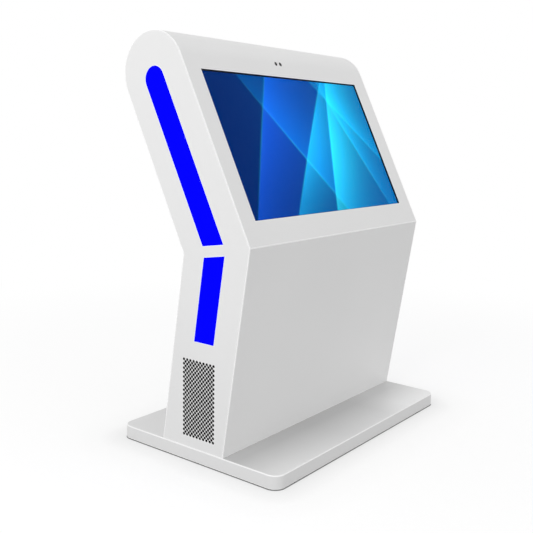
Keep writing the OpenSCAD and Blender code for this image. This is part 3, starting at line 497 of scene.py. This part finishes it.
def lit_diffuser(name, blue):
    finish = Finish(name).set(Roughness=0.7, Specular_IOR_Level=0.02, Emission_Strength=1.0)
    finish.set(Base_Color=(0.0, 0.0, 0.02, 1.0))
    glow = finish.two_tones(finish.noise(45.0, detail=1.0), shade(blue, 0.97), blue)
    finish.links.new(glow, finish.shader.inputs["Emission Color"])
    return finish.relief(finish.noise(500.0), 0.00004, 0.4)


dress(lit_diffuser("lit blue diffuser", PURE_BLUE), "left_diffusers", "right_diffusers")

# %% [markdown]
# Circuit boards. The camera board and the diode strips are glass fibre boards under solder mask.
# Tracks show as slightly lighter or darker lines in the mask. They could be cut as real grooves,
# but a bent wave texture is enough, because a board is only seen through the open door.

# %% Circuit boards
TRACKS = 120.0  # per metre
TRACK_EDGE = (0.55, 0.62)


def board(name, mask, track):
    finish = Finish(name)
    lines = finish.node("TexWave", {"Vector": finish.place, "Scale": TRACKS, "Distortion": 3.0,
                                    "Detail": 1.0, "Detail Scale": 4.0}).outputs["Fac"]
    colour = finish.ramp(lines, tuple(zip(TRACK_EDGE, (mask, track))))
    finish.links.new(colour, finish.shader.inputs["Base Color"])
    finish.gloss(lines, 0.3, 0.4)
    return finish.relief(lines, 0.00003, 0.6)


dress(board("green circuit board", (0.008, 0.07, 0.03), (0.02, 0.13, 0.06)), "camera_board")
dress(board("white circuit board", (0.72, 0.72, 0.68), (0.62, 0.62, 0.58)),
      "left_led_strips", "right_led_strips")

# %% [markdown]
# The cover glass and the sensor windows. Outdoor displays sit behind toughened glass with an
# anti-reflection coating, so the picture stays deep instead of showing the sky. A coated pane
# reflects far less than plain glass does, which is the same as a low index. The coating could be
# built as a thin film, but the low index alone does what is seen of it. So the pane gets an index
# of 1.05 and full transmission, and the picture behind it keeps its dark blues.

# %% Coated glass
COATED_INDEX = 1.05


def coated_glass(name):
    finish = Finish(name).set(Base_Color=(*grey(1.0), 1.0), IOR=COATED_INDEX, Transmission_Weight=1.0)
    return finish.gloss(finish.noise(14.0, detail=3.0), 0.0, 0.03)


def dark_window(name):
    finish = Finish(name).set(Specular_IOR_Level=0.4)
    finish.colour(finish.noise(60.0), (0.004, 0.004, 0.005), (0.009, 0.009, 0.011))
    finish.gloss(finish.noise(200.0), 0.06, 0.12)
    return finish.relief(finish.noise(30.0), 0.00002, 0.3)


dress(coated_glass("coated cover glass"), "cover_glass")
dress(dark_window("sensor window"), "sensor_windows")

# %% [markdown]
# The display. Its module is a black frame round the lit area, and the lit area lies a third of a
# millimetre lower. The frame of solids already holds that shallow recess, so the picture can be
# its own thin sheet that fits the recess exactly. To find the recess, the module's corners are
# sorted by their depth behind the face: the lowest level is the black frame, the next is the
# picture.

# %% Find the picture area
SAME_LEVEL = 0.00005


def levels(name, direction):
    """Groups a solid's corners by how far they lie along a direction."""
    found = []
    for corner in sorted((v.co.copy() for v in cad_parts[name].data.vertices),
                         key=lambda co: co.dot(direction)):
        depth = corner.dot(direction)
        if not found or depth - found[-1][0] > SAME_LEVEL:
            found.append((depth, []))
        found[-1][1].append(corner)
    return found


picture_depth, picture_corners = levels("display_module", FACE_IN)[1]
picture_x = [corner.x for corner in picture_corners]
picture_up = [corner.dot(FACE_UP) for corner in picture_corners]
picture_size = (max(picture_x) - min(picture_x), max(picture_up) - min(picture_up))
print("lit picture area: %.1f x %.1f mm" % tuple(1000 * side for side in picture_size))

# %% [markdown]
# The picture sheet. It could be a bare plane, but a closed sheet stays a solid when it is
# exported. So it is built corner by corner in mesh code: a thin slab with a UV map, where u runs
# from left to right and v from bottom to top. The picture is then drawn in those coordinates, so it
# would stretch with the display if the display changed.

# %% Picture sheet
SHEET_THICKNESS = 0.0002
SHEET_PLAY = 0.0002


def slab(name, low, high, place):
    """A closed box between two corners of a local frame, with UVs over its width and height."""
    mesh = bpy.data.meshes.new(name)
    work = bmesh.new()
    bmesh.ops.create_cube(work, size=1.0)
    uv_layer = work.loops.layers.uv.new("sheet")
    for vert in work.verts:
        vert.co = Vector(low[i] + (vert.co[i] + 0.5) * (high[i] - low[i]) for i in range(3))
    for face in work.faces:
        for loop in face.loops:
            loop[uv_layer].uv = [(loop.vert.co[i] - low[i]) / (high[i] - low[i]) for i in (0, 2)]
    work.to_mesh(mesh)
    work.free()
    mesh.transform(place)
    made = bpy.data.objects.new(name, mesh)
    bpy.context.collection.objects.link(made)
    return made


FACE_FRAME = Matrix((Vector((1, 0, 0)), FACE_IN, FACE_UP)).transposed().to_4x4()
picture = slab("display_picture",
               (min(picture_x) + SHEET_PLAY, picture_depth - SHEET_THICKNESS, min(picture_up) + SHEET_PLAY),
               (max(picture_x) - SHEET_PLAY, picture_depth, max(picture_up) - SHEET_PLAY), FACE_FRAME)
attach(picture, "housing")
print("picture sheet: %d corners, %.1f mm thick" % (len(picture.data.vertices), 1000 * SHEET_THICKNESS))

# %% [markdown]
# The picture itself is a generic one: straight translucent sheets of light that lean across a
# night-blue ground. It could be an image file, but a drawn one stays sharp at any distance. Each
# sheet is a bright straight edge that fades away on one side. An edge is the line where a sloping
# coordinate crosses zero, so one sheet takes a few nodes: the slope, a steep step for the edge, a
# falling power for the fade, a second and much steeper one for the thin line of light on the edge
# itself, and a colour to add. A soft round glow makes the sheets brighter where they meet, a little
# right of the middle, and leaves the corners deep blue.

# %% Sheets of light
STEP_SHARPNESS = 260.0
EDGE_SHARPNESS = 420.0
EDGE_OF_LIGHT = (0.02, 0.55, 0.60)
GLOW_MIDDLE = (0.60, 0.27)
GLOW_SIZE = (0.40, 0.27)
SHEET_POWER = (0.45, 1.15)  # far from the glow, and in its middle


def soft_glow(finish, across, up):
    """1 in the middle of the glow, falling like a bell to its sides."""
    total = 0.0
    for value, middle, size in zip((across, up), GLOW_MIDDLE, GLOW_SIZE):
        off = finish.math("DIVIDE", finish.math("SUBTRACT", value, middle), size)
        total = finish.math("ADD", finish.math("MULTIPLY", off, off), total)
    return finish.math("POWER", math.e, finish.math("MULTIPLY", total, -1.0))


def light_sheet(finish, across, up, glow, lean, foot, fade, colour, strength):
    turn = math.radians(lean)
    slope = finish.math("SUBTRACT", finish.math("MULTIPLY", across, math.cos(turn)),
                        finish.math("MULTIPLY", up, math.sin(turn)))
    distance = finish.math("SUBTRACT", slope, foot * math.cos(turn))
    lit_side = finish.math("MULTIPLY", distance, STEP_SHARPNESS, clamp=True)
    falling = finish.math("POWER", math.e, finish.math("MULTIPLY", distance, -1.0 / fade))
    amount = finish.math("MULTIPLY", lit_side, falling, clamp=True)
    power = finish.math("MULTIPLY", finish.spread(glow, *SHEET_POWER), strength)
    body = finish.scaled(colour, finish.math("MULTIPLY", amount, power))
    off = finish.math("MULTIPLY", finish.math("ABSOLUTE", distance), -EDGE_SHARPNESS)
    line = finish.math("MULTIPLY", finish.math("POWER", math.e, off), glow)
    return finish.vector("ADD", body, finish.scaled(EDGE_OF_LIGHT, line))


# %% [markdown]
# Six sheets make the picture, added one over the other on the night-blue ground, as stage lights
# would add up in haze. The order doesn't matter, so the list can be changed freely. The surface
# itself is nearly black and has no shine, because the pane in front of it gives the only reflection.

# %% Night-blue picture with leaning sheets of light
PICTURE_SHEETS = (
    # lean of the edge in degrees, where it meets the bottom edge, width of the fade, colour, strength
    (31.0, 0.02, 0.15, (0.008, 0.11, 0.85), 0.95),
    (-36.0, 0.60, 0.20, (0.000, 0.11, 0.36), 0.90),
    (40.0, 0.26, 0.12, (0.008, 0.40, 0.60), 1.00),
    (-22.0, 0.93, 0.12, (0.000, 0.20, 0.42), 0.80),
    (24.0, 0.52, 0.15, (0.020, 0.58, 0.64), 1.00),
    (-44.0, 1.20, 0.10, (0.000, 0.24, 0.44), 0.70),
)
NIGHT_GROUND = ((0.0, (0.0005, 0.020, 0.15)), (0.55, (0.0003, 0.040, 0.22)), (1.0, (0.0002, 0.070, 0.30)))


def display_picture(name):
    finish = Finish(name).set(Roughness=0.5, Specular_IOR_Level=0.0, Emission_Strength=1.0)
    finish.set(Base_Color=(0.0005, 0.001, 0.002, 1.0))
    uv = finish.node("TexCoord").outputs["UV"]
    across = finish.part(uv, "X")
    up = finish.math("MULTIPLY", finish.part(uv, "Y"), picture_size[1] / picture_size[0])
    glow = soft_glow(finish, across, up)
    total = finish.ramp(across, NIGHT_GROUND)
    for sheet in PICTURE_SHEETS:
        total = finish.vector("ADD", total, light_sheet(finish, across, up, glow, *sheet))
    finish.links.new(total, finish.shader.inputs["Emission Color"])
    return finish


picture.data.materials.append(display_picture("display picture").material)
print("display picture drawn with", len(PICTURE_SHEETS), "sheets of light")

# %% [markdown]
# Soft edges. Folded and laser-cut sheet never has a razor edge: the coat rounds it to about half a
# millimetre, and that thin band catches the light as a pale line. The edges could be cut round in
# the solids, but a bevel modifier that only takes sharp corners does it without touching their
# meshes. It goes on the front panel, the rails, the channels, the heat sink and the pane, whose
# outlines are seen against something dark or bright.

# %% Round the sheets' edges
EDGE_ROUNDING = 0.0008
SHARP_CORNER = math.radians(40)


def soften(name):
    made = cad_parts[name].modifiers.new("soft edge", "BEVEL")
    made.width = EDGE_ROUNDING
    made.segments = 2
    made.limit_method = "ANGLE"
    made.angle_limit = SHARP_CORNER


softened = ("front_panel", "base_channels", "cross_rails", "cover_glass", "computer")
for node_name in softened:
    soften(node_name)
print("edges rounded by %.1f mm on" % (1000 * EDGE_ROUNDING), ", ".join(softened))

# %% [markdown]
# The studio. The kiosk stands on a white floor in front of a white background. Both are white by
# their own colour, and only for rays that show them: those from the camera, and those that arrive
# by a reflection or through glass, so that metal and glass show the same white. All other rays,
# which carry the light itself, see a plain grey floor. More light would make a white floor too, but
# it would burn the white coat out.

# %% Rays that show the background
def showing_rays(wiring):
    """1 for rays from the camera, by a reflection or through glass, and 0 for all others."""
    path = wiring.node("LightPath").outputs
    seen = wiring.math("MAXIMUM", path["Is Camera Ray"], path["Is Glossy Ray"])
    return wiring.math("MAXIMUM", seen, path["Is Transmission Ray"])


# %% [markdown]
# The floor. To a ray that shows it, the floor adds some glow to what the lamps give it, so that only
# the shade beside the foot plate is left. The glow is weaker in a band of 10 cm along the plate,
# which makes a soft contact shade. Under the plate there is none, which leaves a thin dark line
# where the plate's edge stands on its rubber pads. Far from the kiosk the floor turns to the
# background's white, so no horizon line is left.
#
# A gradient could be laid by hand round the plate. Here the distance from the plate is worked out
# instead: a point is folded into one quarter, measured from the middle of the plate's round
# corner, and what is left of it past that middle is as long as the way to the plate's outline.

# %% Floor
FLOOR_RADIUS = 9.0
FLOOR_SIDES = 96
FLOOR_DROP = 0.0002
FLOOR_PATCH = (1.5, 3.2)
FLOOR_SHADE = 0.42
FLOOR_GREY = 0.45
PLATE_CORNER = 0.040
UNDER_PLATE = -0.002
GLOW_BAND = 0.22
FLOOR_GLOW = ((0.0, 0.49), (0.45, 0.60), (1.0, 0.622))


def studio_floor():
    mesh = bpy.data.meshes.new("studio_floor")
    work = bmesh.new()
    bmesh.ops.create_circle(work, cap_ends=True, segments=FLOOR_SIDES, radius=FLOOR_RADIUS)
    work.to_mesh(mesh)
    work.free()
    made = bpy.data.objects.new("studio_floor", mesh)
    made.location.z = -FLOOR_DROP
    bpy.context.collection.objects.link(made)
    return made


def way_from(finish, corner_middle):
    """How far a point lies from the middle lines of the plate's rounded outline."""
    past = finish.vector("SUBTRACT", finish.vector("ABSOLUTE", finish.place), corner_middle)
    return finish.vector("LENGTH", finish.vector("MAXIMUM", past, (0.0, 0.0, 0.0)), output="Value")


def floor_paint(name, corner_middle):
    finish = Finish(name).set(Roughness=0.9, Specular_IOR_Level=0.0)
    finish.set(Base_Color=(*grey(FLOOR_GREY), 1.0))
    way = way_from(finish, corner_middle)
    open_floor = finish.math("GREATER_THAN", way, PLATE_CORNER - UNDER_PLATE)
    beside_plate = finish.spread(way, 0.0, 1.0, PLATE_CORNER, PLATE_CORNER + GLOW_BAND)
    tone = finish.ramp(beside_plate, [(at, grey(glow)) for at, glow in FLOOR_GLOW])
    glow = finish.node("Emission", {"Color": tone, "Strength": open_floor}).outputs[0]
    shaded = finish.node("BsdfDiffuse", {"Color": (*grey(FLOOR_SHADE), 1.0)}).outputs[0]
    near = finish.node("AddShader", {0: shaded, 1: glow}).outputs[0]
    white = finish.node("Emission", {"Color": (*grey(1.0), 1.0), "Strength": 1.0}).outputs[0]
    far = finish.vector("LENGTH", finish.place, output="Value")
    away = finish.spread(far, 0.0, 1.0, *FLOOR_PATCH, interpolation_type="SMOOTHSTEP")
    shown = finish.node("MixShader", {0: away, 1: near, 2: white}).outputs[0]
    both = finish.node("MixShader", {0: showing_rays(finish), 1: finish.shader.outputs[0], 2: shown})
    finish.links.new(both.outputs[0], finish.nodes["Material Output"].inputs["Surface"])
    return finish


plate_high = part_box("base_plate")[1]
floor = studio_floor()
floor.data.materials.append(floor_paint(
    "white floor", (plate_high[0] - PLATE_CORNER, plate_high[1] - PLATE_CORNER, 1.0)).material)
print("floor stays dark under a plate of %.0f x %.0f mm" % (2000 * plate_high[0], 2000 * plate_high[1]))

# %% [markdown]
# The light. The real picture was taken under a broad, even light, like that of a bright overcast
# sky: no face is black, no face is burnt out, and neighbouring faces differ by a few tones only. So
# the world gives most of the light here. It also lights every other side of the kiosk evenly, which
# hard lamps would burn white from behind. The background's full white is only for the rays that
# show it, so it doesn't light the coat.

# %% World
AMBIENT = 0.79


def set_world(ambient):
    world = bpy.data.worlds.new("studio")
    bpy.context.scene.world = world
    world.use_nodes = True
    wiring = Wiring(world.node_tree)
    background = wiring.nodes["Background"]
    background.inputs["Color"].default_value = (*grey(1.0), 1.0)
    wiring.links.new(wiring.spread(showing_rays(wiring), ambient, 1.0), background.inputs["Strength"])


set_world(AMBIENT)
print("the world lights the kiosk at", AMBIENT)

# %% [markdown]
# Three softboxes then set the faces apart. A big one far out on the left makes the side panel the
# brightest face. A low one in front lights the lower panel, which leans forward over the foot
# plate, and hardly touches the plate. A weak one high on the right lifts the plate's right end.
# Small bare lamps could do the same, but they would leave hard shadows and hot spots on the coat,
# and a softbox is as wide as its shadows are soft.

# %% Lamps
def softbox(name, watts, place, aim, size):
    lamp = bpy.data.lights.new(name, "AREA")
    lamp.energy = watts
    lamp.shape = "RECTANGLE"
    lamp.size, lamp.size_y = size
    made = bpy.data.objects.new(name, lamp)
    made.location = place
    made.rotation_euler = (Vector(aim) - Vector(place)).to_track_quat("-Z", "Y").to_euler()
    bpy.context.collection.objects.link(made)
    print("%-18s %5.1f W" % (name, watts))


softbox("left softbox", 103.0, (-5.5, -0.6, 1.8), (0.0, 0.0, 0.8), (2.5, 2.5))
softbox("low front softbox", 18.0, (0.6, -4.2, 0.45), (0.0, 0.0, 0.6), (2.6, 0.8))
softbox("right softbox", 1.8, (2.4, -0.3, 4.0), (0.0, 0.0, 0.3), (1.6, 1.6))
